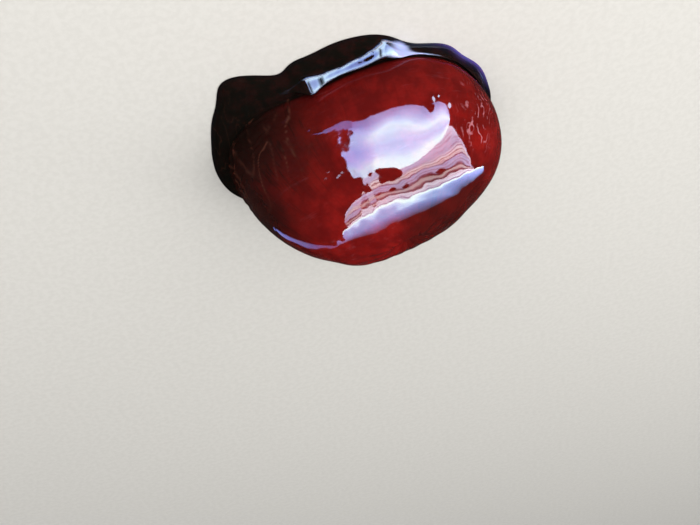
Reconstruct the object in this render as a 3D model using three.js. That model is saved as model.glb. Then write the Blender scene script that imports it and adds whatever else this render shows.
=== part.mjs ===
// A beadlet anemone, closed and holding water, as the falling tide leaves it: a plump dome that
// leans back over its flat foot, with the feelers drawn in under the puckered crown.
// Millimetres, +Z up. The sole lies on z = 0, the foot's long way runs along X, and the crown
// leans towards +Y. The origin is the middle of the animal's box, at the sole.

import * as THREE from 'three';

const segments = 88; // points round every ring
const cut = 0.3; // the thin cut that parts one named piece from the next
const axisCut = 0.45; // the same cut measured on the bent axis, where the rings crowd at the back
const crownCut = 0.22; // the cut round the crown, where the dome closes in fast

// The foot's margin is a squared ellipse with lobes and notches: at (degrees round from +X),
// out (mm, minus for a notch) and over (degrees).
const footHalfLength = 26.0;
const footHalfWidth = 21.3;
const footSquareness = 2.3;
const footWaves = [
  { at: -45, out: 2.6, over: 9 },
  { at: -60, out: -2.7, over: 8 },
  { at: -76, out: -1.4, over: 13 },
  { at: -131, out: -2.7, over: 14 },
  { at: -155, out: -1.3, over: 9 },
  { at: -13, out: -0.9, over: 14 },
  { at: 24, out: 0.5, over: 12 },
  { at: 62, out: 0.8, over: 10 },
  { at: 95, out: -0.6, over: 15 },
  { at: 128, out: 0.7, over: 10 },
  { at: 172, out: 0.9, over: 12 },
];
const soleThick = 0.5;

// The blue line is the foot's own edge; the limbus is the skirt from it in to the column.
const rimWidth = 1.2;
const rimShare = 0.3; // the most of the skirt's width that the blue line takes
const rimHigh = 0.95;
const skirtEdgeHigh = 1.2;
const furrowHigh = 1.8;

// A fold stands up beside the furrow, with a steep flat face towards the margin.
const rollHigh = 1.6;
const rollWaves = [
  { at: -70, out: 1.2, over: 7 },
  { at: -92, out: -0.5, over: 12 },
];
const rollCrest = 1.6; // mm out from the furrow, where the skirt is wide enough
const crestWaves = [
  { at: -58, out: 0.35, over: 12 },
  { at: -116, out: 0.9, over: 8 },
];
const rollCrestShare = 0.62; // of the skirt's width less a margin, where it isn't
const rollMargin = 0.6;
const rollRun = 0.47; // the face's depth over its height
const rollLaid = { at: -128, out: 0.5, over: 12 }; // where the face lies back
const rollSoft = 0.14; // how rounded the face is at its foot and its top
const rollFullWidth = 2.9; // the fold is full where the skirt is this wide
const rollNoWidth = 0.8;
const rollClear = 65; // degrees each side of the flare that it keeps off
const rollClearPower = 14;
const ruffleHigh = 0.16;
const ruffleCount = 31;

// The column is a ringed sweep along an axis that bends over towards the back.
const columnCentre = { x: -2.86, y: -0.72 };
const columnHalfLength = 23.45;
const columnHalfWidth = 16.5;
const columnTurn = THREE.MathUtils.degToRad(5.4);
const columnLong = 26.25;
const widestAt = 0.31; // of the way up the axis
const footRatio = 0.9; // width at the furrow over the widest
const backRoundness = 2.11; // 2 is an ellipse
const frontRoundness = 2.18;
const frontTaper = 0.48; // how much of the width the front loses by the pole
const taperPower = 1.5;
const lean = THREE.MathUtils.degToRad(21.9);
const leanTowards = THREE.MathUtils.degToRad(121);
const leanPower = 2.49;
const columnLobes = [
  { count: 2, cos: 0.046, sin: -0.003 },
  { count: 3, cos: 0.034, sin: -0.001 },
  { count: 4, cos: -0.013, sin: -0.018 },
];

// At the +X end there is no furrow: the wall flares out to the skirt in crumpled folds.
const flareAt = 0;
const flareOver = 44;
const flareOut = 2.6;
const flareHigh = 5;
const flarePower = 1.3;
const foldDeep = 0.3;
const foldSpacing = 2.1;
const foldFade = 8;
const foldWander = 1.1;

// The collar is a low ring round the crown, which is drawn in to a pit by radial puckers.
const collarAt = 0.5; // of the widest radius
const collarWidth = 0.12;
const collarHigh = 0.35;
const pitRadius = 0.14;
const pitDeep = 2.4;
const puckerCount = 16;
const puckerDeep = 0.24;
const puckerFront = 0.25; // how much of their depth the puckers keep on the front
const puckerReach = 0.3;
const crownSlide = 1; // brings the pit to the middle of the crown, in mm towards the back
const slideFrom = 0.86; // of the axis

// Where the cuts fall on the column, and the crown's innermost ring, as a share of the axis.
const footTop = 0.17;
const wallTop = 0.5;
const shoulderTop = 0.8;
const collarTop = 0.935;
const crownInnermost = 0.9995;

// A smooth bump round the compass: 1 at the middle, falling off over so many degrees.
function bump(angle, at, over, power = 2) {
  const turned = THREE.MathUtils.radToDeg(angle) - at + 180;
  const off = THREE.MathUtils.euclideanModulo(turned, 360) - 180;
  return Math.exp(-(Math.abs(off / over) ** power));
}

function marginRadius(angle) {
  const along = Math.abs(Math.cos(angle)) / footHalfLength;
  const across = Math.abs(Math.sin(angle)) / footHalfWidth;
  const plain = (along ** footSquareness + across ** footSquareness) ** (-1 / footSquareness);
  return footWaves.reduce((radius, wave) => radius + wave.out * bump(angle, wave.at, wave.over), plain);
}

// The bent axis, stepped along once: how far it has gone back and up, and its tilt.
const axisSteps = 200;
const axisTable = [{ back: 0, up: 0, tilt: 0 }];
for (let i = 1; i <= axisSteps; i += 1) {
  const before = axisTable[i - 1];
  const tilt = lean * (i / axisSteps) ** leanPower;
  const mean = (before.tilt + tilt) / 2;
  const step = columnLong / axisSteps;
  axisTable.push({
    back: before.back + step * Math.sin(mean),
    up: before.up + step * Math.cos(mean),
    tilt,
  });
}

function axisAt(share) {
  const place = THREE.MathUtils.clamp(share, 0, 1) * axisSteps;
  const low = Math.min(Math.floor(place), axisSteps - 1);
  const between = (key) => THREE.MathUtils.lerp(axisTable[low][key], axisTable[low + 1][key], place - low);
  return { back: between('back'), up: between('up'), tilt: between('tilt') };
}

// How far a share lies from the widest ring to the pole, and its radius over the widest one.
function domeRise(share) {
  return THREE.MathUtils.clamp((share - widestAt) / (1 - widestAt), 0, 1);
}

function domeRadius(share, roundness) {
  if (share < widestAt) {
    return 1 - (1 - footRatio) * ((widestAt - share) / widestAt) ** 2;
  }
  return (1 - domeRise(share) ** roundness) ** (1 / roundness);
}

// The same for one turn round the ring: the front slopes back and the back stays full.
function ringRadius(share, turn) {
  const front = 0.5 - 0.5 * Math.sin(turn);
  const back = domeRadius(share, backRoundness);
  const full = THREE.MathUtils.lerp(back, domeRadius(share, frontRoundness), front);
  return full * (1 - frontTaper * front * share ** taperPower);
}

// Folds, collar, pit and puckers: how far the skin stands out from the smooth dome, in mm.
function relief(share, angle) {
  const radius = domeRadius(share, backRoundness);
  const height = share * columnLong;
  const crumple = bump(angle, flareAt, flareOver, 4) * Math.exp(-((height / foldFade) ** 2));
  const wander = foldWander * (Math.sin(3 * angle + 1) + 0.5 * Math.sin(7 * angle));
  let out = foldDeep * crumple * Math.sin((2 * Math.PI * height) / foldSpacing + wander);
  if (share > widestAt) {
    const puckered = Math.exp(-(((radius - puckerReach) / (puckerReach / 2)) ** 2));
    out += collarHigh * Math.exp(-(((radius - collarAt) / collarWidth) ** 2));
    out -= pitDeep * Math.exp(-((radius / pitRadius) ** 2));
    const deep = puckerDeep * THREE.MathUtils.lerp(puckerFront, 1, 0.5 + 0.5 * Math.sin(angle));
    out -= deep * puckered * (0.5 + 0.5 * Math.cos(puckerCount * angle));
  }
  return out;
}

// The column's lobed oval at its widest, turned in the plane of the foot.
function ovalAt(turn) {
  const lobed = columnLobes.reduce(
    (sum, lobe) => sum + lobe.cos * Math.cos(lobe.count * turn) + lobe.sin * Math.sin(lobe.count * turn),
    1,
  );
  return new THREE.Vector2(columnHalfLength * Math.cos(turn), columnHalfWidth * Math.sin(turn))
    .multiplyScalar(lobed)
    .rotateAround(new THREE.Vector2(), columnTurn);
}

// A point in the ring plane at a share of the axis, at a radius over the widest one.
function ringPoint(share, turn, radius) {
  const oval = ovalAt(turn).multiplyScalar(radius);
  oval.y += crownSlide * THREE.MathUtils.smoothstep(share, slideFrom, 1);
  const along = oval.x * Math.cos(leanTowards) + oval.y * Math.sin(leanTowards);
  const across = oval.y * Math.cos(leanTowards) - oval.x * Math.sin(leanTowards);
  const axis = axisAt(share);
  const back = axis.back + along * Math.cos(axis.tilt);
  return new THREE.Vector3(
    columnCentre.x + back * Math.cos(leanTowards) - across * Math.sin(leanTowards),
    columnCentre.y + back * Math.sin(leanTowards) + across * Math.cos(leanTowards),
    furrowHigh + axis.up - along * Math.sin(axis.tilt),
  );
}

// A point on the column's skin. The relief stands out square to the dome, so low on the column
// it widens the ring and near the pole it slides the ring along the axis.
function columnPoint(share, turn) {
  const oval = ovalAt(turn);
  const angle = oval.angle();
  const smooth = ringRadius(share, turn);
  const sideways = smooth / Math.hypot(smooth, domeRise(share));
  const out = relief(share, angle);
  const settled = ((share * columnLong) / flareHigh) ** flarePower;
  const flare = flareOut * bump(angle, flareAt, flareOver, 4) * Math.exp(-settled);
  const lifted = share + (out * Math.sqrt(1 - sideways ** 2)) / columnLong;
  const radius = smooth + (out * sideways) / columnHalfWidth + flare / oval.length();
  return ringPoint(lifted, turn, radius);
}

const turns = Array.from({ length: segments }, (_, i) => (2 * Math.PI * i) / segments);

function columnRing(share) {
  return turns.map((turn) => columnPoint(share, turn));
}

// A ring in the cut that runs down round the crown: as wide as the skin at another share.
function innerRing(share, edgeShare) {
  return turns.map((turn) => ringPoint(share, turn, ringRadius(edgeShare, turn)));
}

// The furrow and the margin straight out from it, for each turn.
const furrow = columnRing(0);
const spokes = furrow.map((point) => {
  const angle = Math.atan2(point.y, point.x);
  const inner = Math.hypot(point.x, point.y);
  const outer = marginRadius(angle);
  const width = outer - inner;
  return { angle, inner, outer, width, rim: Math.min(rimWidth, rimShare * width) };
});

function spokeRing(place) {
  return spokes.map((spoke) => {
    const { radius, z } = place(spoke);
    return new THREE.Vector3(radius * Math.cos(spoke.angle), radius * Math.sin(spoke.angle), z);
  });
}

// Faces between rings, each ring running anticlockwise seen from above.
function ringFaces(count, closed) {
  const faces = [];
  for (let i = 0; i < (closed ? count : count - 1); i += 1) {
    const above = (i + 1) % count;
    for (let j = 0; j < segments; j += 1) {
      const next = (j + 1) % segments;
      const [a, b] = [i * segments + j, i * segments + next];
      const [c, d] = [above * segments + next, above * segments + j];
      faces.push(a, b, c, a, c, d);
    }
  }
  return faces;
}

function solid(points, faces) {
  const geometry = new THREE.BufferGeometry().setFromPoints(points);
  geometry.setIndex(faces);
  geometry.computeVertexNormals();
  return geometry;
}

// A stack of rings, bottom first, closed by a fan at each end.
function stackSolid(rings) {
  const faces = ringFaces(rings.length, false);
  const points = rings.flat();
  const middle = (ring) => ring.reduce((sum, p) => sum.add(p), new THREE.Vector3()).divideScalar(segments);
  const bottom = points.push(middle(rings[0])) - 1;
  const top = points.push(middle(rings[rings.length - 1])) - 1;
  const lastRing = (rings.length - 1) * segments;
  for (let j = 0; j < segments; j += 1) {
    const next = (j + 1) % segments;
    faces.push(bottom, next, j, top, lastRing + j, lastRing + next);
  }
  return solid(points, faces);
}

// Rings that close on themselves: bottom inner edge, out, up, and back in over the top.
function hoopSolid(rings) {
  return solid(rings.flat(), ringFaces(rings.length, true));
}

function evenly(from, to, count) {
  return Array.from({ length: count }, (_, i) => THREE.MathUtils.lerp(from, to, i / (count - 1)));
}

function makeSole() {
  const rings = [[cut, 0], [cut, soleThick - cut], [2 * cut, soleThick]];
  return stackSolid(rings.map(([inset, z]) => spokeRing(({ outer, rim }) => (
    { radius: outer - rim - inset, z }))));
}

// The foot's edge: flat below, rounded outside, and thin.
function makeBlueRim() {
  // Each point of its section: a share of its width in from the margin, and a height.
  const section = [[1, 0], [0.25, 0], [0, 0.25], [0.15, 0.5], [0.5, 0.78], [1, rimHigh]];
  return hoopSolid(section.map(([share, z]) => spokeRing(({ outer, rim }) => (
    { radius: outer - share * rim, z }))));
}

// The fold at one spoke: its height, and how far out its crest and the foot of its face are.
function foldAt({ angle, width }) {
  const waved = (plain, waves) => waves.reduce((sum, w) => sum + w.out * bump(angle, w.at, w.over), plain);
  const room = THREE.MathUtils.smoothstep(width, rollNoWidth, rollFullWidth);
  const clear = 1 - bump(angle, flareAt, rollClear, rollClearPower);
  const high = waved(rollHigh, rollWaves) * room * clear;
  const crest = Math.min(waved(rollCrest, crestWaves), rollCrestShare * (width - rollMargin));
  return { high, crest, run: Math.max(0.2, high * waved(rollRun, [rollLaid])) };
}

// A ramp from 0 to 1 with rounded corners.
function softRamp(t, soft) {
  return 0.5 * (Math.hypot(t, soft) - Math.hypot(t - 1, soft) + 1);
}

function skirtTop(spoke, out) {
  const fold = foldAt(spoke);
  const share = 1 - out / spoke.width;
  const face = softRamp((fold.crest + fold.run - out) / fold.run, rollSoft);
  const back = THREE.MathUtils.smoothstep(out, 0.15 * fold.crest, fold.crest);
  const ruffle = ruffleHigh * Math.cos(ruffleCount * spoke.angle) * 4 * share * (1 - share);
  const plain = THREE.MathUtils.lerp(skirtEdgeHigh, furrowHigh, share);
  return plain + fold.high * face * back + ruffle * (1 - face);
}

// The skirt, from the blue line in to the furrow, with its fold.
function makeLimbus() {
  const underside = soleThick + cut;
  // How far out from the furrow the rings are: the edge, the plain part, the fold's face and its back.
  const ringsOut = (spoke) => {
    const { crest, run } = foldAt(spoke);
    const edge = spoke.width - spoke.rim - cut;
    const foot = Math.min(crest + 1.15 * run, THREE.MathUtils.lerp(crest, edge, 0.8));
    return [
      edge,
      THREE.MathUtils.lerp(edge, foot, 0.4),
      THREE.MathUtils.lerp(edge, foot, 0.75),
      foot,
      THREE.MathUtils.lerp(foot, crest, 0.5),
      crest,
      THREE.MathUtils.lerp(crest, cut, 0.35),
      THREE.MathUtils.lerp(crest, cut, 0.7),
      cut,
    ];
  };
  const ring = (index, top) => spokeRing((spoke) => {
    const out = ringsOut(spoke)[index];
    return { radius: spoke.inner + out, z: top ? skirtTop(spoke, out) : underside };
  });
  const above = Array.from({ length: 9 }, (_, i) => ring(i, true));
  return hoopSolid([ring(8, false), ring(0, false), ...above]);
}

function makeColumnFoot() {
  const underside = furrow.map((point) => new THREE.Vector3(point.x, point.y, soleThick + cut));
  return stackSolid([underside, ...evenly(0, footTop, 7).map(columnRing)]);
}

function makeColumnWall() {
  return stackSolid(evenly(footTop + axisCut / columnLong, wallTop, 6).map(columnRing));
}

function makeShoulder() {
  return stackSolid(evenly(wallTop + axisCut / columnLong, shoulderTop, 6).map(columnRing));
}

// The collar is a ring with the crown set in it, both on the same floor.
const collarFloor = shoulderTop + axisCut / columnLong;
const crownEdge = collarTop + crownCut / columnLong;

function makeCollar() {
  const skin = evenly(collarFloor, collarTop, 6).map(columnRing);
  return hoopSolid([innerRing(collarFloor, collarTop), ...skin]);
}

// The crown's rings crowd towards the pole, where the dome is flattest.
function makeCrown() {
  const low = Math.asin(crownEdge);
  const high = Math.asin(crownInnermost);
  const skin = evenly(low, high, 7).map((angle) => columnRing(Math.sin(angle)));
  return stackSolid([innerRing(collarFloor, crownEdge), ...skin]);
}

const subParts = [
  { name: 'pedal_disc', make: makeSole, color: '#5a2a22', roughness: 0.5 },
  { name: 'blue_rim', make: makeBlueRim, color: '#3a3a7d', roughness: 0.3 },
  { name: 'limbus', make: makeLimbus, color: '#241713', roughness: 0.25 },
  { name: 'column_foot', make: makeColumnFoot, color: '#46201c', roughness: 0.25 },
  { name: 'column_wall', make: makeColumnWall, color: '#6e1718', roughness: 0.15 },
  { name: 'column_shoulder', make: makeShoulder, color: '#6a1718', roughness: 0.15 },
  { name: 'collar', make: makeCollar, color: '#5c1516', roughness: 0.15 },
  { name: 'closed_crown', make: makeCrown, color: '#4a1012', roughness: 0.2 },
];

const animal = new THREE.Group();
subParts.forEach(({ name, make, color, roughness }) => {
  const material = new THREE.MeshStandardMaterial({ color, roughness, metalness: 0 });
  const mesh = new THREE.Mesh(make(), material);
  mesh.name = name;
  animal.add(mesh);
});

// Bring the middle of the box over the origin.
const middle = new THREE.Box3().setFromObject(animal).getCenter(new THREE.Vector3());
animal.position.set(-middle.x, -middle.y, 0);

const group = new THREE.Group();
group.add(animal);

export default group;
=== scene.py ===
import math
import bpy
import numpy as np
from mathutils import Matrix, Vector, noise


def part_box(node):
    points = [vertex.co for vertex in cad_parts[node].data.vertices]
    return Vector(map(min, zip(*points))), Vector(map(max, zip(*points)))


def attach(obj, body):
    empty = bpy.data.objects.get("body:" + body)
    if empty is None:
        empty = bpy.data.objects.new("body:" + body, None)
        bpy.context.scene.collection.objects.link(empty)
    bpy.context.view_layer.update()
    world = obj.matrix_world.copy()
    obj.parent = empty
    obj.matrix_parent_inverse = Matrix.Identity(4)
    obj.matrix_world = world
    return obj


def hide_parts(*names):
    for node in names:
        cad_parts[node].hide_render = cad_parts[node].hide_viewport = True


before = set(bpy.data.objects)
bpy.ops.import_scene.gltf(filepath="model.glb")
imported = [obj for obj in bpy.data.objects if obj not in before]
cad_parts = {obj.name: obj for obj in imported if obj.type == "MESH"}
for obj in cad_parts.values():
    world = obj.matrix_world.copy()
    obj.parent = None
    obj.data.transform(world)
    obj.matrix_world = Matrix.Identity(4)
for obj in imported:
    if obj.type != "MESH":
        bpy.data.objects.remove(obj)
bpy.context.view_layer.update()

mm = 0.001
print("frame loaded:", sorted(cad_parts))

# The margin is a squared ellipse with lobes and notches: degrees round from +X, mm out, degrees over.
foot = {
    "halfLength": 26.0,
    "halfWidth": 21.3,
    "squareness": 2.3,
    "waves": [(-45, 2.6, 9), (-60, -2.7, 8), (-76, -1.4, 13), (-131, -2.7, 14), (-155, -1.3, 9),
              (-13, -0.9, 14), (24, 0.5, 12), (62, 0.8, 10), (95, -0.6, 15), (128, 0.7, 10),
              (172, 0.9, 12)],
    "rimWidth": 1.2,
    "rimShare": 0.3,
    "rimHigh": 0.45,
    "rimSlope": 0.9,
    "rimSlopeShare": 0.35,
    "furrowHigh": 1.8,
    "rollHigh": 1.6,
    "rollWaves": [(-70, 1.2, 7), (-92, -0.5, 12)],
    "rollCrest": 1.6,
    "rollCrestShare": 0.62,
    "rollMargin": 0.6,
    "crestWaves": [(-58, 0.35, 12), (-116, 0.9, 8)],
    "rollRun": 0.47,
    "rollLeastRun": 0.2,
    "rollLaid": (-128, 0.5, 12),
    "rollSoft": 0.14,
    "rollBehind": 0.15,
    "rollFullWidth": 2.9,
    "rollNoWidth": 0.8,
    "rollClear": 65,
    "rollClearPower": 14,
    "creaseDeep": 0.5,
    "creaseWide": 0.35,
}

# The column is a ringed sweep on an axis that bends over towards the back.
column = {
    "centre": (-2.86, -0.72),
    "halfLength": 23.45,
    "halfWidth": 16.5,
    "turn": math.radians(5.4),
    "long": 26.25,
    "widestAt": 0.31,
    "footRatio": 0.9,
    "backRoundness": 2.11,
    "frontRoundness": 2.18,
    "frontTaper": 0.48,
    "taperPower": 1.5,
    "lean": math.radians(21.9),
    "leanTowards": math.radians(121),
    "leanPower": 2.49,
    "lobes": [(2, 0.046, -0.003), (3, 0.034, -0.001), (4, -0.013, -0.018)],
    "flareAt": 0,
    "flareOver": 44,
    "flareOut": 2.6,
    "flareHigh": 5.0,
    "flarePower": 1.3,
}

crown = {
    "collarAt": 0.5,
    "collarWidth": 0.12,
    "collarHigh": 0.35,
    "pitRadius": 0.14,
    "pitDeep": 2.4,
    "pitTip": 0.02,
    "puckers": 16,
    "puckerDeep": 0.24,
    "puckerFront": 0.25,
    "puckerReach": 0.3,
    "slide": 1.0,
    "slideFrom": 0.86,
}

# Fine relief, in mm.
relief = {
    "foldDeep": 0.22,
    "foldSpacing": 1.9,
    "foldFade": 8.5,
    "foldWander": 1.5,
    "wanderSize": 6.0,
    "foldJitter": 0.6,
    "jitterSize": 2.6,
    "foldShare": 0.7,
    "ridgeShare": 0.5,
    "ridgeSize": 1.8,
    "swellHigh": 0.06,
    "swellSize": 9.0,
    "rippleHigh": 0.008,
    "rippleSize": 2.4,
    "skirtPleatHigh": 0.04,
    "skirtPleats": 31,
    "skirtCreaseHigh": 0.1,
    "skirtLumpSize": 3.0,
    "skirtLineSize": 1.3,
    "skirtLineShare": 0.6,
    "furrowFade": 1.2,
}

# How many points go round, and how many rows each stretch has.
grid = {"around": 400, "sole": 5, "soleStart": 0.15, "rim": 8, "skirt": 44, "furrowCloser": 0.12,
        "column": 188}


# A bump at a place on a circle, in degrees. A higher power gives it a flatter top and steeper sides.
def bump(degrees, at, over, power=2):
    off = (degrees - at + 180) % 360 - 180
    return np.exp(-np.abs(off / over) ** power)


def smoothStep(x, low, high):
    t = np.clip((x - low) / (high - low), 0, 1)
    return t * t * (3 - 2 * t)


# A ramp from 0 to 1 with rounded corners.
def softRamp(t, soft):
    return 0.5 * (np.hypot(t, soft) - np.hypot(t - 1, soft) + 1)


def marginRadius(angle):
    f = foot
    plain = ((np.abs(np.cos(angle)) / f["halfLength"]) ** f["squareness"]
             + (np.abs(np.sin(angle)) / f["halfWidth"]) ** f["squareness"]) ** (-1 / f["squareness"])
    degrees = np.degrees(angle)
    for at, out, over in f["waves"]:
        plain = plain + out * bump(degrees, at, over)
    return plain


# The bent axis: how far back, how far up and how tilted, at a share of its length.
axisShare = np.linspace(0, 1, 201)
axisTilt = column["lean"] * axisShare ** column["leanPower"]
axisMean = (axisTilt[1:] + axisTilt[:-1]) / 2
axisStep = column["long"] / (len(axisShare) - 1)
axisBack = np.concatenate([[0], np.cumsum(np.sin(axisMean))]) * axisStep
axisUp = np.concatenate([[0], np.cumsum(np.cos(axisMean))]) * axisStep


def domeRise(share):
    return np.clip((share - column["widestAt"]) / (1 - column["widestAt"]), 0, 1)


def domeRadius(share, roundness):
    widest = column["widestAt"]
    low = 1 - (1 - column["footRatio"]) * ((widest - share) / widest) ** 2
    return np.where(share < widest, low, (1 - domeRise(share) ** roundness) ** (1 / roundness))


# The front slopes back and the back stays full.
def ringRadius(share, turn):
    front = 0.5 - 0.5 * np.sin(turn)
    back = domeRadius(share, column["backRoundness"])
    full = back + (domeRadius(share, column["frontRoundness"]) - back) * front
    return full * (1 - column["frontTaper"] * front * share ** column["taperPower"])


def ovalAt(turn):
    c = column
    lobed = 1 + sum(a * np.cos(n * turn) + b * np.sin(n * turn) for n, a, b in c["lobes"])
    x, y = c["halfLength"] * np.cos(turn) * lobed, c["halfWidth"] * np.sin(turn) * lobed
    cosT, sinT = math.cos(c["turn"]), math.sin(c["turn"])
    return x * cosT - y * sinT, x * sinT + y * cosT


def ringPoint(share, turn, radius):
    x, y = ovalAt(turn)
    x = x * radius
    y = y * radius + crown["slide"] * smoothStep(share, crown["slideFrom"], 1)
    cosL, sinL = math.cos(column["leanTowards"]), math.sin(column["leanTowards"])
    along, across = x * cosL + y * sinL, y * cosL - x * sinL
    tilt = np.interp(share, axisShare, axisTilt)
    back = np.interp(share, axisShare, axisBack) + along * np.cos(tilt)
    up = np.interp(share, axisShare, axisUp) - along * np.sin(tilt)
    return np.stack([column["centre"][0] + back * cosL - across * sinL,
                     column["centre"][1] + back * sinL + across * cosL,
                     foot["furrowHigh"] + up], -1)


def crownRelief(share, angle):
    c = crown
    radius = domeRadius(share, column["backRoundness"])
    out = c["collarHigh"] * np.exp(-((radius - c["collarAt"]) / c["collarWidth"]) ** 2)
    out = out - c["pitDeep"] * np.exp(-(radius / c["pitRadius"]) ** 2)
    puckered = np.exp(-((radius - c["puckerReach"]) / (c["puckerReach"] / 2)) ** 2)
    deep = c["puckerDeep"] * (c["puckerFront"] + (1 - c["puckerFront"]) * (0.5 + 0.5 * np.sin(angle)))
    out = out - deep * puckered * (0.5 + 0.5 * np.cos(c["puckers"] * angle))
    return np.where(share > column["widestAt"], out, 0)


# A point on the column's skin, with its fine relief added square to the dome.
def columnPoint(share, turn, fine):
    x, y = ovalAt(turn)
    angle = np.arctan2(y, x)
    smooth = ringRadius(share, turn)
    sideways = smooth / np.hypot(smooth, domeRise(share))
    out = crownRelief(share, angle) + fine
    settled = (share * column["long"] / column["flareHigh"]) ** column["flarePower"]
    flare = column["flareOut"] * np.exp(-settled)
    flare = flare * bump(np.degrees(angle), column["flareAt"], column["flareOver"], 4)
    lifted = share + out * np.sqrt(1 - sideways ** 2) / column["long"]
    radius = smooth + out * sideways / column["halfWidth"] + flare / np.hypot(x, y)
    return ringPoint(lifted, turn, radius)


# Cloudy noise about 0, with clouds of the size given, in mm.
def noiseAt(points, size, seed, depth=2):
    at = points / size + np.array([seed * 7.13, seed * 3.71, seed * 5.37])
    values = [noise.fractal(Vector(p), 0.6, 2.1, depth) for p in at.reshape(-1, 3)]
    return np.array(values).reshape(at.shape[:-1])


# The column's rings, from the furrow up to the pit in the crown.
def makeColumn():
    widest = column["widestAt"]
    lower = grid["column"] // 3
    upper = np.linspace(0, np.pi / 2, grid["column"] - lower, endpoint=False)
    share = np.concatenate([np.linspace(0, widest, lower, endpoint=False),
                            widest + (1 - widest) * np.sin(upper)])
    turn = np.linspace(0, 2 * np.pi, grid["around"], endpoint=False)
    shares, turns = np.meshgrid(share, turn, indexing="ij")
    smooth = columnPoint(shares, turns, np.zeros_like(shares))
    x, y = ovalAt(turns)
    degrees = np.degrees(np.arctan2(y, x))
    height = shares * column["long"]

    r = relief
    wander = noiseAt(smooth, r["wanderSize"], 1) * r["foldWander"]
    wander = wander + noiseAt(smooth * [0.5, 0.5, 1.0], r["jitterSize"], 2) * r["foldJitter"]
    fold = np.sin(2 * np.pi * (height / r["foldSpacing"] + wander))
    ridge = 1 - 2 * np.abs(noiseAt(smooth * [1.0, 0.35, 1.0], r["ridgeSize"], 3, 3))
    flared = bump(degrees, column["flareAt"], column["flareOver"], 4)
    crumple = flared * np.exp(-(height / r["foldFade"]) ** 2)
    swell = noiseAt(smooth, r["swellSize"], 4) * r["swellHigh"]
    ripple = noiseAt(smooth, r["rippleSize"], 5) * r["rippleHigh"]
    fine = r["foldDeep"] * crumple * (r["foldShare"] * fold + r["ridgeShare"] * ridge) + swell + ripple
    fine = fine * smoothStep(height, 0, r["furrowFade"])
    return {"column": columnPoint(shares, turns, fine), "smooth": smooth, "height": height,
            "degrees": degrees, "crumple": crumple}


# The fold on the skirt, for each spoke: its crest's distance from the furrow, its height and its run.
def foldSizes(spoke, width):
    f = foot
    crest = f["rollCrest"] + sum(out * bump(spoke, at, over) for at, out, over in f["crestWaves"])
    crest = np.minimum(crest, f["rollCrestShare"] * (width - f["rollMargin"]))
    roll = f["rollHigh"] + sum(out * bump(spoke, at, over) for at, out, over in f["rollWaves"])
    roll = roll * smoothStep(width, f["rollNoWidth"], f["rollFullWidth"])
    roll = roll * (1 - bump(spoke, column["flareAt"], f["rollClear"], f["rollClearPower"]))
    laidAt, laid, laidOver = f["rollLaid"]
    run = np.maximum(f["rollLeastRun"], roll * (f["rollRun"] + laid * bump(spoke, laidAt, laidOver)))
    return crest, roll, run


# The foot's rows, on spokes that run out from the furrow: the sole, the edge and the skirt.
def makeFoot(furrow):
    f, r = foot, relief
    angle = np.arctan2(furrow[:, 1], furrow[:, 0])
    spoke = np.degrees(angle)
    inner, outer = np.hypot(furrow[:, 0], furrow[:, 1]), marginRadius(angle)
    width = outer - inner
    crest, roll, run = foldSizes(spoke, width)
    spokeFlare = bump(spoke, column["flareAt"], column["flareOver"], 4)
    rimWidth = np.minimum(f["rimWidth"], f["rimShare"] * width)
    rimSlope = np.minimum(f["rimSlope"], f["rimSlopeShare"] * width)

    def spokeRow(radius, z):
        return np.stack([radius * np.cos(angle), radius * np.sin(angle), z + 0 * angle], -1)

    rows = []
    for k in range(grid["sole"]):
        rows.append(spokeRow((outer - rimWidth) * (k + grid["soleStart"]) / grid["sole"], 0))
    for k in range(grid["rim"]):  # round the edge, from the sole up over the blue line
        a = math.pi * k / (grid["rim"] - 1)
        inset = (rimWidth if k < grid["rim"] / 2 else rimSlope) * (1 - math.sin(a))
        rows.append(spokeRow(outer - inset, f["rimHigh"] * (1 - math.cos(a / 2)) if k else 0))
    for k in range(1, grid["skirt"]):
        v = k / grid["skirt"]
        v = v + grid["furrowCloser"] * math.sin(2 * math.pi * v) / math.pi  # closer rows at the furrow
        out = (width - rimSlope) * (1 - v)
        rolled = softRamp((crest + run - out) / run, f["rollSoft"])
        behind = smoothStep(out, f["rollBehind"] * crest, crest)
        crease = f["creaseDeep"] * np.exp(-(out / f["creaseWide"]) ** 2) * (1 - spokeFlare)
        z = f["rimHigh"] + (f["furrowHigh"] - f["rimHigh"]) * math.sqrt(v) + roll * rolled * behind - crease
        z = z + r["skirtPleatHigh"] * np.cos(r["skirtPleats"] * angle) * 4 * v * (1 - v) * (1 - rolled)
        row = spokeRow(inner + out, z)
        lump = noiseAt(row * [1, 1, 0], r["skirtLumpSize"], 7, 3)
        lump = lump + r["skirtLineShare"] * noiseAt(row * [0.4, 1.2, 0], r["skirtLineSize"], 8, 2)
        inward = np.minimum(1, 5 * v) * np.minimum(1, 6 * (1 - v))  # fades out at the rim and the furrow
        row[:, 2] += r["skirtCreaseHigh"] * lump * inward * (1 - rolled)
        rows.append(row)
    footRows = np.stack(rows)
    reach = np.hypot(footRows[..., 0], footRows[..., 1])
    return {"foot": footRows, "fromFurrow": reach - inner, "fromEdge": outer - reach, "width": width,
            "crest": crest, "run": run}


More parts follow.
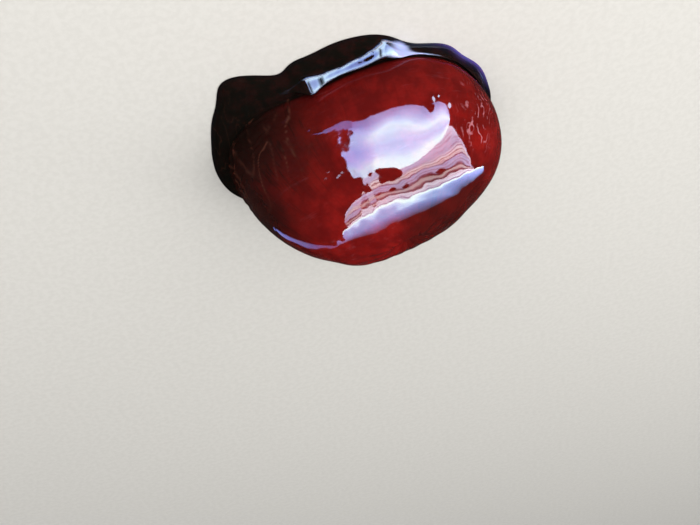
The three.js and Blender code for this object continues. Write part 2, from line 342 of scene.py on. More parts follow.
# Where the marks lie. "At" is degrees round from +X and degrees over, and "In" and "Out" are the mm up
# the column between which a mark comes in or fades. Each "Line" is its size, its width and its strength.
marking = {
    "skirtFade": 0.5,
    "lobeAt": (0, 44),
    "thickLine": (4.2, 0.034, 0.7),
    "thinLine": (2.8, 0.045, 0.28),
    "lobeLine": (2.6, 0.03, 0.16),
    "lobeLineAt": (4, 48),
    "brokenSize": 4.5,
    "brokenFrom": (-0.5, -0.05),
    "rimFade": 0.42,
    "blueAt": (200, 17),
    "printAt": (204, 11),
    "printIn": (5, 8),
    "printOut": (14, 18),
    # The near end, the near top, the far top and the low wall get a darker brown-red of painted shade.
    "nearEndAt": (-4, 54),
    "nearEndOut": (7, 22),
    "nearTopAt": (2, 24),
    "nearTopOut": (14, 23),
    "farTopAt": (180, 95),
    "farTopIn": (15, 23),
    "farTopShare": 0.72,
    "lowOut": (3, 16),
    "lowShare": 0.3,
}


# What the paint goes by: the foot's values and the column's, each with a value for its pole.
def paintMarks(g, footTurn):
    m = marking
    footDegrees, degrees, height, smooth = np.degrees(footTurn), g["degrees"], g["height"], g["smooth"]
    turnAt = np.radians(degrees)
    up = 1 - np.clip(g["fromFurrow"] / g["width"], 0, 1)

    def wrinkle(points, seed, depth, size, width, strength):
        return strength * np.exp(-(noiseAt(points, size, seed, depth) / width) ** 2)

    # Pale lines wander along the crests of the crumpled end: partly the skin's own pale crests, partly
    # painted highlight.
    thick = wrinkle(smooth * [1, 0.25, 0.3], 11, 2, *m["thickLine"])
    thin = wrinkle(smooth * [1, 0.2, 0.25], 13, 1, *m["thinLine"])
    broken = smoothStep(noiseAt(smooth, m["brokenSize"], 12, 2), *m["brokenFrom"])
    wrinkles = np.maximum(thick, thin) * broken * smoothStep(g["crumple"], 0.02, 0.2)
    # Faint pale lines on the lobe, partly painted highlight.
    onLobe = wrinkle(g["foot"] * [1, 0.3, 0.3], 14, 2, *m["lobeLine"])
    onLobe = onLobe * bump(footDegrees, *m["lobeLineAt"], 4)

    # Painted highlight: pale finger-print lines at the far end, in place of mirrored wet threads.
    sheenLines = bump(degrees, *m["printAt"], 4) * smoothStep(height, *m["printIn"])
    sheenLines = sheenLines * (1 - smoothStep(height, *m["printOut"]))
    # Painted shade: where the wall is darkened, at the near end, the near top, the far top and low down.
    nearEnd = bump(degrees, *m["nearEndAt"], 4) * (1 - smoothStep(height, *m["nearEndOut"]))
    nearTop = bump(degrees, *m["nearTopAt"], 4) * (1 - smoothStep(height, *m["nearTopOut"]))
    farTop = m["farTopShare"] * bump(degrees, *m["farTopAt"], 4) * smoothStep(height, *m["farTopIn"])
    low = m["lowShare"] * (1 - smoothStep(height, *m["lowOut"]))
    return {
        "height": (2 * up - 2, height, -2, 30),
        "skirt": (1.0, np.exp(-(height / m["skirtFade"]) ** 2), 1, 0),
        "crumple": (bump(footDegrees, *m["lobeAt"], 4), g["crumple"], 0, 0),
        "turnX": (np.cos(footTurn), np.cos(turnAt), 0, 0),
        "turnY": (np.sin(footTurn), np.sin(turnAt), 0, 0),
        "crest": (onLobe, wrinkles, 0, 0),
        "rim": (np.exp(-(g["fromEdge"] / m["rimFade"]) ** 2), 0.0, 1, 0),
        # Blue shows on one stretch of the rim; the rest is painted shade.
        "blueness": (bump(footDegrees, *m["blueAt"], 4), 0.0, 0, 0),
        "ends": (0.0, sheenLines, 0, 0),
        "paintedShade": (0.0, np.maximum.reduce([nearEnd, nearTop, farTop, low]), 0, 0),
    }


# Where the wet coat is missing: "At" as above, the furrow in shares of the distance to the fold's crest,
# the plain skirt and the fold's face in shares of the fold's run, and the rest in mm.
coatGaps = {
    "furrow": (0.55, 0.95),
    "wideFurrowAt": (-162, 25),
    "wideFurrow": 0.35,
    "plain": (1.25, 1.7),
    "glintAt": (214, 13),
    "glintShare": 0.4,
    "edge": (0.35, 0.65),
    "edgeShare": 0.93,
    "wideEdgeAt": (-145, 26),
    "wideEdge": 0.45,
    "face": (0.42, 0.42),
    "holesAt": [(-79.2, 1.5), (-113.6, 0.7), (-71.4, 0.5)],
    "lobeAt": (-8, 60),
    "wallFade": 0.6,
    "flareAt": (-2, 56),
    "flareOut": (5, 11),
}

# A painted highlight, a pale lavender strip where the fold turns away from the lights, tapers off along the
# fold's far end.
paintedHighlightPlace = {"at": (-128.5, 9.5), "taper": (-139, -121), "low": -0.1, "rise": 0.3, "thin": 0.2, "widen": 0.42}


def coatMarks(g, footDegrees):
    c = coatGaps
    crest, run, out, height = g["crest"], g["run"], g["fromFurrow"], g["height"]
    deeper = c["wideFurrow"] * bump(footDegrees, *c["wideFurrowAt"], 6)
    inner, outer = c["furrow"]
    furrow = 1 - smoothStep(out, (inner + deeper) * crest, (outer + deeper) * crest)
    starts, full = c["plain"]
    plain = smoothStep(out, crest + starts * run, crest + full * run)
    plain = plain * (1 - c["glintShare"] * bump(footDegrees, *c["glintAt"], 4))
    wider = c["wideEdge"] * bump(footDegrees, *c["wideEdgeAt"], 8)
    inner, outer = c["edge"]
    edge = c["edgeShare"] * (1 - smoothStep(g["fromEdge"], inner + wider, outer + wider))
    across = (out - crest) / run
    holes = sum(bump(footDegrees, at, over, 6) for at, over in c["holesAt"]) * bump(across, *c["face"], 8)
    lobe = bump(footDegrees, *c["lobeAt"], 16)
    flare = bump(g["degrees"], *c["flareAt"], 6) * (1 - smoothStep(height, *c["flareOut"]))
    wall = np.maximum(np.exp(-(height / c["wallFade"]) ** 2), flare)
    taper = smoothStep(footDegrees, *paintedHighlightPlace["taper"])
    middle, reach = paintedHighlightPlace["low"] + paintedHighlightPlace["rise"] * taper, paintedHighlightPlace["thin"] + paintedHighlightPlace["widen"] * taper
    # Painted highlight: where the pale strip lies on the fold's face.
    paintedHighlight = bump(footDegrees, *paintedHighlightPlace["at"], 6) * bump(across, middle, reach, 4)
    return {
        "paintedHighlight": (paintedHighlight, 0.0, 0, 0),
        "dull": (np.maximum.reduce([furrow, plain, edge, holes, lobe]), wall, 1, 0),
    }


def skinMarks(g):
    footTurn = np.arctan2(g["foot"][..., 1], g["foot"][..., 0])
    return paintMarks(g, footTurn) | coatMarks(g, np.degrees(footTurn))


# Quads between the rings, and a fan of triangles to the point that closes each end.
def skinFaces(nRow, nTurn):
    row, ring = np.arange(nRow - 1)[:, None] * nTurn, np.arange(nTurn)
    nextOne = (ring + 1) % nTurn
    a, b = row + ring, row + nextOne
    quads = np.stack([a, b, b + nTurn, a + nTurn], -1).reshape(-1, 4)
    soleTip, top = nRow * nTurn, (nRow - 1) * nTurn
    below = np.stack([np.full(nTurn, soleTip), nextOne, ring], -1)
    above = np.stack([np.full(nTurn, soleTip + 1), top + ring, top + nextOne], -1)
    return quads.tolist() + below.tolist() + above.tolist()


def makeSkin():
    g = makeColumn()
    g = g | makeFoot(g["column"][0])
    footRows, columnRows = g["foot"], g["column"]
    points = np.concatenate([footRows, columnRows])
    nRow, nTurn = points.shape[:2]
    soleCentre = [[0, 0, 0.0]]
    pitCentre = columnRows[-1].mean(0, keepdims=True) - [0, 0, crown["pitTip"]]
    flat = np.concatenate([points.reshape(-1, 3), soleCentre, pitCentre])
    # The middle of the edge goes where the solid edge's middle is.
    rimLow, rimHigh = (np.array(v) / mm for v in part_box("blue_rim"))
    edge = footRows[grid["sole"]:grid["sole"] + grid["rim"]].reshape(-1, 3)
    moved = (rimLow + rimHigh) / 2 - (edge.max(0) + edge.min(0)) / 2
    flat = flat + [moved[0], moved[1], 0]

    mesh = bpy.data.meshes.new("anemoneSkin")
    mesh.from_pydata((flat * mm).tolist(), [], skinFaces(nRow, nTurn))
    mesh.polygons.foreach_set("use_smooth", [True] * len(mesh.polygons))
    for name, (onFoot, onColumn, sole, pit) in skinMarks(g).items():
        values = np.concatenate([np.broadcast_to(onFoot, footRows.shape[:2]).ravel(),
                                 np.broadcast_to(onColumn, columnRows.shape[:2]).ravel(), [sole, pit]])
        mesh.attributes.new(name, "FLOAT", "POINT").data.foreach_set("value", values.astype(np.float32))
    mesh.update()
    skin = bpy.data.objects.new("anemone_skin", mesh)
    bpy.context.scene.collection.objects.link(skin)
    return skin


skin = makeSkin()
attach(skin, "root")
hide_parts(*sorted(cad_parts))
print("skin made:", len(skin.data.polygons), "faces")

# Colours are linear. Each mottling is its size in mm and the noise where it starts and is full, and
# each "Share" is how strongly it shows.
paint = {
    "deepRed": (0.100, 0.0042, 0.0040),
    "brightRed": (0.175, 0.0068, 0.0058),
    # Painted shade: the darker brown-red where the wall is darkened.
    "paintedShade": (0.020, 0.0042, 0.0034),
    # The skirt's own dark olive-brown, made near-black as painted shade.
    "skirtDarkAndShade": (0.0042, 0.0036, 0.0028),
    "skirtRed": (0.0110, 0.0042, 0.0036),
    "blue": (0.060, 0.046, 0.22),
    # Painted shade: the rim's dark, laid over the blue line where it lies in shade.
    "rimInShade": (0.0045, 0.0040, 0.0045),
    # Pale crest lines: the skin's own pale crests, with painted highlight on them.
    "crest": (0.078, 0.027, 0.018),
    # Painted sheen: the pale pink of the painted highlight lines and wisps.
    "paintedSheen": (0.36, 0.125, 0.15),
    # Painted highlight: the pale lavender strip on the fold's far end.
    "paintedHighlight": (0.30, 0.34, 0.58),
    "clouds": (4.0, 0.36, 0.66),
    "grain": (0.55, 0.40, 0.70),
    "grainShare": 0.25,
    "streaks": (0.8, 0.50, 0.72),
    "streakShare": 0.35,
    "streakRound": 22.0,
    "streakUp": 0.16,
    "wisps": (0.5, 0.54, 0.78),
    "wispPatches": (5.0, 0.48, 0.62),
    "wispShare": 0.14,
    "wispRound": 2.4,
    "wispUp": 1.0,
    "printPatches": (2.6, 0.46, 0.64),
    "printAt": math.radians(204),
    "printSpacing": 1.5,
    "printWander": 8.0,
    "printSlant": 0.14,
    "printCloud": 0.24,
    "printLine": (0.82, 1.0),
    "crumpleShare": 0.85,
    "skirtPatches": (2.0, 0.4, 0.65),
    "skirtPlain": 0.75,
    "coatIor": 1.4,
    "coatRoughness": 0.03,
    "underRoughness": 0.5,
    "bleed": 1.2,
    "bleedShare": 0.35,
    "bleedReach": (1.0, 0.15, 0.1),
}


# A shader node with its settings and its inputs, which are values or other nodes' outputs.
def addNode(tree, kind, settings=None, inputs=None):
    node = tree.nodes.new(kind)
    for key, value in (settings or {}).items():
        setattr(node, key, value)
    for key, value in (inputs or {}).items():
        if isinstance(value, bpy.types.NodeSocket):
            tree.links.new(value, node.inputs[key])
        else:
            node.inputs[key].default_value = value
    return node


def addMath(tree, operation, *values, clamp=False):
    inputs = dict(enumerate(values))
    return addNode(tree, "ShaderNodeMath", {"operation": operation, "use_clamp": clamp}, inputs).outputs[0]


def addMix(tree, share, first, second, blend="MIX"):
    node = addNode(tree, "ShaderNodeMix", {"data_type": "RGBA", "blend_type": blend})
    for socket, value in ((node.inputs[0], share), (node.inputs[6], first), (node.inputs[7], second)):
        if isinstance(value, bpy.types.NodeSocket):
            tree.links.new(value, socket)
        else:
            socket.default_value = (*value, 1) if isinstance(value, tuple) else value
    return node.outputs[2]


# A soft-edged mask of noise: sizes in mm, 0 below "Low" and 1 above "High".
def makeMottleGroup():
    group = bpy.data.node_groups.new("mottle", "ShaderNodeTree")
    group.interface.new_socket("Vector", in_out="INPUT", socket_type="NodeSocketVector")
    for name in ("Size", "Detail", "Low", "High"):
        group.interface.new_socket(name, in_out="INPUT", socket_type="NodeSocketFloat")
    group.interface.new_socket("Mask", in_out="OUTPUT", socket_type="NodeSocketFloat")
    given = group.nodes.new("NodeGroupInput").outputs
    scale = addMath(group, "DIVIDE", 1.0, given["Size"])
    cloud = addNode(group, "ShaderNodeTexNoise", None, {
        "Vector": given["Vector"], "Scale": scale, "Detail": given["Detail"], "Roughness": 0.6})
    ranged = addNode(group, "ShaderNodeMapRange", {"interpolation_type": "SMOOTHSTEP"}, {
        "Value": cloud.outputs["Fac"], "From Min": given["Low"], "From Max": given["High"]})
    addNode(group, "NodeGroupOutput", None, {"Mask": ranged.outputs["Result"]})
    return group


mottle = makeMottleGroup()


def addMottle(tree, vector, size, low, high, detail=3.0):
    node = addNode(tree, "ShaderNodeGroup", {"node_tree": mottle}, {
        "Vector": vector, "Size": size, "Detail": detail, "Low": low, "High": high})
    return node.outputs["Mask"]


# The place on the model, in mm.
def addPlace(tree):
    place = addNode(tree, "ShaderNodeTexCoord").outputs["Object"]
    return addNode(tree, "ShaderNodeVectorMath", {"operation": "SCALE"}, {
        0: place, "Scale": 1 / mm}).outputs[0]


# A place stretched round the body and up it.
def addStretched(tree, turnX, turnY, height, roundBy, upBy):
    return addNode(tree, "ShaderNodeCombineXYZ", None, {
        "X": addMath(tree, "MULTIPLY", turnX, roundBy),
        "Y": addMath(tree, "MULTIPLY", turnY, roundBy),
        "Z": addMath(tree, "MULTIPLY", height, upBy)}).outputs[0]


# Painted highlight: fine pale wandering lines, like a finger's print, that run up the body, in place of wet
# threads mirroring the light.
def addSheenLines(tree, turnX, turnY, inMm, height):
    p = paint
    roundBy = -column["halfLength"] * math.sin(p["printAt"]) / p["printSpacing"]
    frontBy = column["halfLength"] * math.cos(p["printAt"]) / p["printSpacing"]
    lineAt = addMath(tree, "MULTIPLY_ADD", turnX, roundBy, addMath(tree, "MULTIPLY", turnY, frontBy))
    lineAt = addMath(tree, "MULTIPLY_ADD", height, p["printSlant"], lineAt)
    cloud = addNode(tree, "ShaderNodeTexNoise", None, {
        "Vector": inMm, "Scale": p["printCloud"], "Detail": 2.5}).outputs["Fac"]
    phase = addMath(tree, "MULTIPLY_ADD", cloud, p["printWander"], lineAt)
    wave = addMath(tree, "SINE", addMath(tree, "MULTIPLY", phase, math.pi))
    low, high = p["printLine"]
    return addNode(tree, "ShaderNodeMapRange", {"interpolation_type": "SMOOTHSTEP"}, {
        "Value": addMath(tree, "ABSOLUTE", wave), "From Min": low, "From Max": high}).outputs["Result"]


# The red of the wall: clouds, streaks up from the furrow, grain, pale wisps of painted sheen, a darker
# brown-red of painted shade at the ends, the tops and the foot, and pale lines of painted highlight.
def addWallColour(tree, mark, inMm):
    p = paint
    turnX, turnY, height, paintedShade = mark("turnX"), mark("turnY"), mark("height"), mark("paintedShade")
    ringed = addStretched(tree, turnX, turnY, height, p["wispRound"], p["wispUp"])
    streaked = addStretched(tree, turnX, turnY, height, p["streakRound"], p["streakUp"])
    colour = addMix(tree, addMottle(tree, inMm, *p["clouds"]), p["deepRed"], p["brightRed"])
    streaks = addMottle(tree, streaked, *p["streaks"])
    colour = addMix(tree, addMath(tree, "MULTIPLY", streaks, p["streakShare"]), colour, p["deepRed"])
    grain = addMath(tree, "MULTIPLY", addMottle(tree, inMm, *p["grain"]), p["grainShare"])
    colour = addMix(tree, grain, colour, p["deepRed"])
    # Pale wisps of painted sheen, lying round the body.
    wisps = addMath(tree, "MULTIPLY", addMottle(tree, ringed, *p["wisps"]),
                    addMottle(tree, inMm, *p["wispPatches"]))
    colour = addMix(tree, addMath(tree, "MULTIPLY", wisps, p["wispShare"]), colour, p["paintedSheen"])
    # Painted shade darkens the wall towards brown-red, more along the streaks.
    darker = addMath(tree, "MULTIPLY", paintedShade, streaks)
    darker = addMath(tree, "MULTIPLY_ADD", darker, p["streakShare"], paintedShade, clamp=True)
    colour = addMix(tree, darker, colour, p["paintedShade"])
    # Pale lines of painted highlight at the far end.
    lines = addMath(tree, "MULTIPLY", addSheenLines(tree, turnX, turnY, inMm, height),
                    addMottle(tree, inMm, *p["printPatches"]))
    return addMix(tree, addMath(tree, "MULTIPLY", lines, mark("ends")), colour, p["paintedSheen"])


def makeSkinMaterial():
    p = paint
    material = bpy.data.materials.new("wetRedSkin")
    material.use_nodes = True
    tree = material.node_tree
    shader = tree.nodes["Principled BSDF"]

    def mark(name):
        return addNode(tree, "ShaderNodeAttribute", {"attribute_name": name}).outputs["Fac"]

    inMm, crumple = addPlace(tree), mark("crumple")
    colour = addWallColour(tree, mark, inMm)
    # The crumpled near end turns towards the skirt's dark: partly its own dark tone, partly painted shade.
    colour = addMix(tree, addMath(tree, "MULTIPLY", crumple, p["crumpleShare"]), colour, p["skirtDarkAndShade"])
    reddened = addMath(tree, "MULTIPLY", addMottle(tree, inMm, *p["skirtPatches"]),
                       addMath(tree, "MULTIPLY_ADD", crumple, -p["skirtPlain"], 1.0))
    skirtTone = addMix(tree, reddened, p["skirtDarkAndShade"], p["skirtRed"])
    colour = addMix(tree, mark("skirt"), colour, skirtTone)
    # Pale crest lines, partly painted highlight.
    colour = addMix(tree, mark("crest"), colour, p["crest"])
    # The blue line shows only where blueness is; elsewhere the rim is painted dark as painted shade.
    rimTone = addMix(tree, mark("blueness"), p["rimInShade"], p["blue"])
    colour = addMix(tree, mark("rim"), colour, rimTone)
    # Painted highlight on the fold's far end.
    colour = addMix(tree, mark("paintedHighlight"), colour, p["paintedHighlight"])
    tree.links.new(colour, shader.inputs["Base Color"])

    shader.inputs["Roughness"].default_value = p["underRoughness"]
    shader.inputs["Specular IOR Level"].default_value = 0.0
    shader.inputs["Subsurface Weight"].default_value = p["bleedShare"]
    shader.inputs["Subsurface Radius"].default_value = p["bleedReach"]
    shader.inputs["Subsurface Scale"].default_value = p["bleed"] * mm
    wet = addMath(tree, "MULTIPLY_ADD", mark("dull"), -1.0, 1.0)
    tree.links.new(wet, shader.inputs["Coat Weight"])
    shader.inputs["Coat Roughness"].default_value = p["coatRoughness"]
    shader.inputs["Coat IOR"].default_value = p["coatIor"]
    return material


skin.data.materials.append(makeSkinMaterial())
print("skin material made")

# The place is in mm, the angles are in degrees, and the clipping is in metres.
view = {
    "place": (6.75, -148.14, 129.19),
    "elevation": 34.0,
    "roll": 164.9,
    "lens": 55.0,
    "sensor": 36,
    "clip": (0.005, 20),
}


def makeCamera():
    data = bpy.data.cameras.new("lookingDown")
    data.lens = view["lens"]
    data.sensor_width = view["sensor"]
    data.clip_start, data.clip_end = view["clip"]
    cam = bpy.data.objects.new("lookingDown", data)
    bpy.context.scene.collection.objects.link(cam)
    tilt = Matrix.Rotation(math.radians(90 - view["elevation"]), 4, "X")
    roll = Matrix.Rotation(math.radians(view["roll"]), 4, "Z")
    cam.matrix_world = Matrix.Translation(Vector(view["place"]) * mm) @ tilt @ roll
    bpy.context.scene.camera = cam
    return cam


makeCamera()

# "seen" is how the floor shows in the wet skin. It reaches this many metres each way.
floorLook = {
    "pale": (0.56, 0.55, 0.52),
    "tint": (0.53, 0.52, 0.49),
    "seen": (0.03, 0.025, 0.025),
    "grain": (1.2, 0.35, 0.65),
    "roughness": 0.95,
    "reach": 3.0,
}


def makeFloor():
    mesh = bpy.data.meshes.new("paleFloor")
    reach = floorLook["reach"]
    corners = [(-reach, -reach, 0), (reach, -reach, 0), (reach, reach, 0), (-reach, reach, 0)]
    mesh.from_pydata(corners, [], [(0, 1, 2, 3)])
    floor = bpy.data.objects.new("pale_floor", mesh)
    material = bpy.data.materials.new("palePaper")
    material.use_nodes = True
    tree = material.node_tree
    shader = tree.nodes["Principled BSDF"]
    grain = addMottle(tree, addPlace(tree), *floorLook["grain"])
    colour = addMix(tree, grain, floorLook["pale"], floorLook["tint"])
    mirrored = addNode(tree, "ShaderNodeLightPath").outputs["Is Glossy Ray"]
    tree.links.new(addMix(tree, mirrored, colour, floorLook["seen"]), shader.inputs["Base Color"])
    shader.inputs["Roughness"].default_value = floorLook["roughness"]
    shader.inputs["Specular IOR Level"].default_value = 0.0
    mesh.materials.append(material)
    bpy.context.scene.collection.objects.link(floor)
    return floor


makeFloor()
print("floor made")

# The make of every softbox's face. Each "Over" is how often noise repeats along it and across it, and
# how fine the noise is.
sheet = {
    "tearsAcross": 3.0,
    "tearDetail": 4.0,
    "tearLevel": 0.52,
    "tornEnds": 0.08,
    "waverOver": (4.2, 1.5, 1.5),
    "bendPower": 3.0,
    "cloudOver": (2.6, 1.6, 2.0),
    "cloudLevel": 0.40,
    "cloudSoft": 0.25,
    "wanderOver": (1.2, 9.0, 2.0),
    "wander": 1.6,
    "lineSoft": 0.8,
    "brokenOver": (5.0, 12.0, 1.0),
    "brokenLevel": 0.38,
    "brokenSoft": 0.2,
}


# A softbox's face: its soft and torn edges, the place across it that wavers along it, clouds and lines.
def makeFaceGroup():
    group = bpy.data.node_groups.new("softFace", "ShaderNodeTree")
    for name in ("Along", "Across", "Soft Ends", "Soft Near", "Soft Far", "Ragged", "Tears", "Waver",
                 "Bend", "Lines", "Seed"):
        group.interface.new_socket(name, in_out="INPUT", socket_type="NodeSocketFloat")
    for name in ("Face", "Place", "Cloud", "Stripe"):
        group.interface.new_socket(name, in_out="OUTPUT", socket_type="NodeSocketFloat")
    given = group.nodes.new("NodeGroupInput").outputs
    along, across = given["Along"], given["Across"]

    def times(first, second):
        return addMath(group, "MULTIPLY", first, second)

    def less(first, second):
        return addMath(group, "SUBTRACT", first, second)

    def noiseOver(alongScale, acrossScale, detail):
        spot = addNode(group, "ShaderNodeCombineXYZ", None, {
            "X": addMath(group, "MULTIPLY_ADD", along, alongScale, given["Seed"]),
            "Y": times(across, acrossScale)}).outputs[0]
        return addNode(group, "ShaderNodeTexNoise", {"noise_dimensions": "2D"}, {
            "Vector": spot, "Scale": 1.0, "Detail": detail, "Roughness": 0.6}).outputs["Fac"]

    def soft(distance, width):
        return addNode(group, "ShaderNodeMapRange", {"interpolation_type": "SMOOTHSTEP"}, {
            "Value": distance, "From Min": 0.0, "From Max": width}).outputs["Result"]

    torn = noiseOver(given["Tears"], sheet["tearsAcross"], sheet["tearDetail"])
    torn = times(less(torn, sheet["tearLevel"]), given["Ragged"])
    near = addMath(group, "ADD", across, torn)
    far = addMath(group, "ADD", less(1.0, across), torn)
    fromEnd = less(0.5, addMath(group, "ABSOLUTE", less(along, 0.5)))
    fromEnd = addMath(group, "MULTIPLY_ADD", torn, sheet["tornEnds"], fromEnd)
    face = times(soft(near, given["Soft Near"]), soft(far, given["Soft Far"]))
    face = times(face, soft(fromEnd, given["Soft Ends"]))
    # The lines waver in the middle and run true along both edges.
    between = times(across, less(1.0, across))
    waver = times(less(noiseOver(*sheet["waverOver"]), 0.5), between)
    place = addMath(group, "MULTIPLY_ADD", waver, given["Waver"], across)
    # Towards the last end the lines crowd to the far edge.
    late = addMath(group, "POWER", along, sheet["bendPower"])
    bend = addMath(group, "MULTIPLY_ADD", late, given["Bend"], 1.0)
    place = addMath(group, "POWER", addMath(group, "MAXIMUM", place, 0.0), bend)
    cloud = soft(less(noiseOver(*sheet["cloudOver"]), sheet["cloudLevel"]), sheet["cloudSoft"])
    # Fine lines along the sheet, unevenly apart and broken.
    lineAt = addMath(group, "MULTIPLY_ADD", noiseOver(*sheet["wanderOver"]), sheet["wander"],
                     times(place, given["Lines"]))
    stripe = soft(addMath(group, "SINE", times(lineAt, 2 * math.pi)), sheet["lineSoft"])
    whole = soft(less(noiseOver(*sheet["brokenOver"]), sheet["brokenLevel"]), sheet["brokenSoft"])
    addNode(group, "NodeGroupOutput", None, {
        "Face": face, "Place": place, "Cloud": cloud, "Stripe": times(stripe, whole)})
    return group


softFace = makeFaceGroup()

# Softboxes are curved sheets round the model. Each runs between a near and a far edge, which are
# rows of (azimuth from the front (-Y) towards +X, elevation) in degrees, seen from its aim, a place in
# mm. It is "away" mm from there, and below the horizon it lies on the floor. "look" is its colour from
# the near edge to the far one, "cloud" how much clouds tint it, "soft" how soft its ends and its near
# and far edges are, "ragged" and "tears" how deep and how close its torn edges are, "waver" and "bend"
# how its colours wander and crowd, "lines" how many fine lines it has and how strong, and "start" how
# far its first end is tinted, and with what.
softboxes = {
    "front": {
        "aim": (0, -13, 14), "away": 500,
        "near": [(25.3, -12), (17, -7.7), (7.6, -6.4), (-13, -6.2), (-26.6, 0), (-50, -4.5), (-57.4, 4.4)],
        "far": [(25.2, 27.4), (21.4, 32.5), (17.5, 32.7), (-2.3, 39.9), (-29.5, 36.7), (-45.6, 29.6),
                (-57.7, 14.8)],
        "look": [(0, (0.15, 0.17, 0.38)), (0.10, (0.19, 0.23, 0.48)), (0.20, (0.27, 0.36, 0.67)),
                 (0.30, (0.46, 0.64, 0.93)), (0.38, (0.63, 0.86, 0.98)), (0.47, (0.52, 0.70, 0.92)),
                 (0.58, (0.42, 0.56, 0.89)), (0.68, (0.44, 0.58, 0.90)), (0.76, (0.55, 0.72, 0.95)),
                 (0.85, (0.73, 0.96, 0.95)), (1, (0.76, 0.98, 0.95))],
        "cloudTint": (0.42, 0.55, 0.90), "cloud": 0.25, "bright": 38,
        "soft": (0.004, 0.02, 0.008), "ragged": 0.09, "tears": 7.0, "waver": 0.5, "bend": 0.0,
        "lines": (9, 0.10), "start": (0.36, (0.52, 0.55, 0.78)), "seed": 1.0},
    "tail": {
        "aim": (0, -9, 18), "away": 504,
        "near": [(130.4, -4.6), (132, 1.4), (127.7, 11.9), (126.1, 21.5), (121.6, 34), (100, 50)],
        "far": [(136, -7.8), (142.6, -6), (142.7, 0.1), (143, 9.1), (133, 26), (112, 45)],
        "look": [(0, (0.2, 0.26, 0.75)), (1, (0.15, 0.18, 0.5))],
        "cloudTint": (0.4, 0.36, 0.7), "cloud": 0.3, "bright": 7,
        "soft": (0.03, 0.25, 0.25), "ragged": 0.1, "tears": 6.0, "waver": 0.0, "bend": 0.0,
        "lines": (5, 0.0), "start": (0.2, (0.8, 0.9, 1.0)), "seed": 4.0},
    "band": {
        "aim": (-4, -9, 18), "away": 508,
        "near": [(77, 52.3), (56, 53.7), (37, 54.3), (25.4, 52.8), (19.4, 54.3), (3.5, 56.6), (-24.8, 56.6),
                 (-57.5, 51.3), (-88.6, 39.4), (-106, 26), (-117.5, 12.8), (-124.5, 5.5)],
        "far": [(117, 41), (95, 52.5), (76, 62.5), (57, 74), (32.4, 84.1), (-27.5, 89.3), (-92.2, 75.2),
                (-106, 57), (-112.5, 37.5), (-121, 21.6), (-127.6, 11.6), (-129.5, 4.6)],
        "look": [(0, (0.50, 0.56, 0.72)), (0.008, (0.72, 0.95, 0.94)), (0.035, (0.72, 0.95, 0.95)),
                 (0.065, (0.46, 0.64, 0.91)), (0.11, (0.25, 0.37, 0.67)), (0.20, (0.18, 0.28, 0.55)),
                 (0.36, (0.13, 0.21, 0.46)), (0.56, (0.09, 0.15, 0.34)), (0.80, (0.04, 0.08, 0.17)),
                 (1, (0.01, 0.03, 0.05))],
        "cloudTint": (0.5, 0.55, 0.9), "cloud": 0.0, "bright": 38,
        "soft": (0.006, 0.01, 0.05), "ragged": 0.006, "tears": 6.0, "waver": 0.0, "bend": 0.0,
        "lines": (26, 0.08), "start": (0.06, (0.8, 0.85, 0.95)), "seed": 3.0},
    "strata": {
        "aim": (-4, -9, 18), "away": 512,
        "near": [(38.3, 45), (26, 41.4), (23, 40.8), (22.1, 31), (17.8, 30), (-1.7, 37), (-28.7, 33),
                 (-44.9, 26), (-57, 13), (-74, 17.3), (-95, 19.6)],
        "far": [(56, 54.7), (37, 55.3), (23.3, 53.5), (24.7, 53.6), (19.2, 55.8), (-2.8, 57.7),
                (-48.2, 54.1), (-88.6, 40.4), (-106.1, 26.9), (-113.1, 18.5), (-118, 12.5)],
        "look": [(0, (0.70, 0.76, 0.98)), (0.10, (0.52, 0.52, 0.78)), (0.20, (0.42, 0.42, 0.64)),
                 (0.24, (0.62, 0.60, 0.74)), (0.255, (0.24, 0.16, 0.24)), (0.275, (0.68, 0.64, 0.76)),
                 (0.32, (0.76, 0.68, 0.70)), (0.335, (0.14, 0.05, 0.07)), (0.355, (0.76, 0.66, 0.66)),
                 (0.40, (0.66, 0.58, 0.66)), (0.43, (0.12, 0.05, 0.08)), (0.46, (0.36, 0.38, 0.62)),
                 (0.53, (0.44, 0.44, 0.68)), (0.545, (0.22, 0.18, 0.28)), (0.56, (0.40, 0.40, 0.62)),
                 (0.60, (0.32, 0.30, 0.48)), (0.63, (0.05, 0.01, 0.02)), (0.655, (0.04, 0.01, 0.01)),
                 (0.68, (0.46, 0.38, 0.38)), (0.74, (0.42, 0.36, 0.38)), (0.77, (0.06, 0.02, 0.03)),
                 (0.80, (0.10, 0.04, 0.06)), (0.825, (0.76, 0.74, 0.86)), (0.87, (0.80, 0.78, 0.92)),
                 (0.88, (0.50, 0.42, 0.56)), (0.89, (0.80, 0.80, 0.94)), (0.915, (0.80, 0.82, 0.98)),
                 (0.928, (0.22, 0.13, 0.27)), (0.942, (0.24, 0.15, 0.30)), (0.955, (0.76, 0.82, 0.98))],
        "cloudTint": (0.42, 0.36, 0.5), "cloud": 0.25, "bright": 28,
        "soft": (0.01, 0.01, 0.01), "ragged": 0.03, "tears": 6.0, "waver": 0.4, "bend": 1.4,
        "lines": (17, 0.5), "start": (0.08, (0.9, 0.9, 0.95)), "seed": 5.0},
    "wisp": {
        "aim": (5, -13, 10.6), "away": 498,
        "near": [(31.5, -13.2), (29, -13), (26.7, -12.8), (24.9, -12.8), (22.9, -12.9), (22, -12.4),
                 (20.2, -11.2), (18.5, -8.5)],
        "far": [(31.8, -12.4), (29.3, -11.2), (26.7, -10.3), (25.2, -10.2), (24.6, -9.7), (24, -6.4),
                (24.2, -2.6), (22.5, -3.1)],
        "look": [(0, (0.08, 0.16, 0.47)), (1, (0.12, 0.20, 0.57))],
        "cloudTint": (0.3, 0.32, 0.7), "cloud": 0.2, "bright": 20,
        "soft": (0.02, 0.1, 0.1), "ragged": 0.3, "tears": 10.0, "waver": 0.0, "bend": 0.0,
        "lines": (5, 0.0), "start": (0.3, (0.7, 0.7, 0.9)), "seed": 7.0},
}

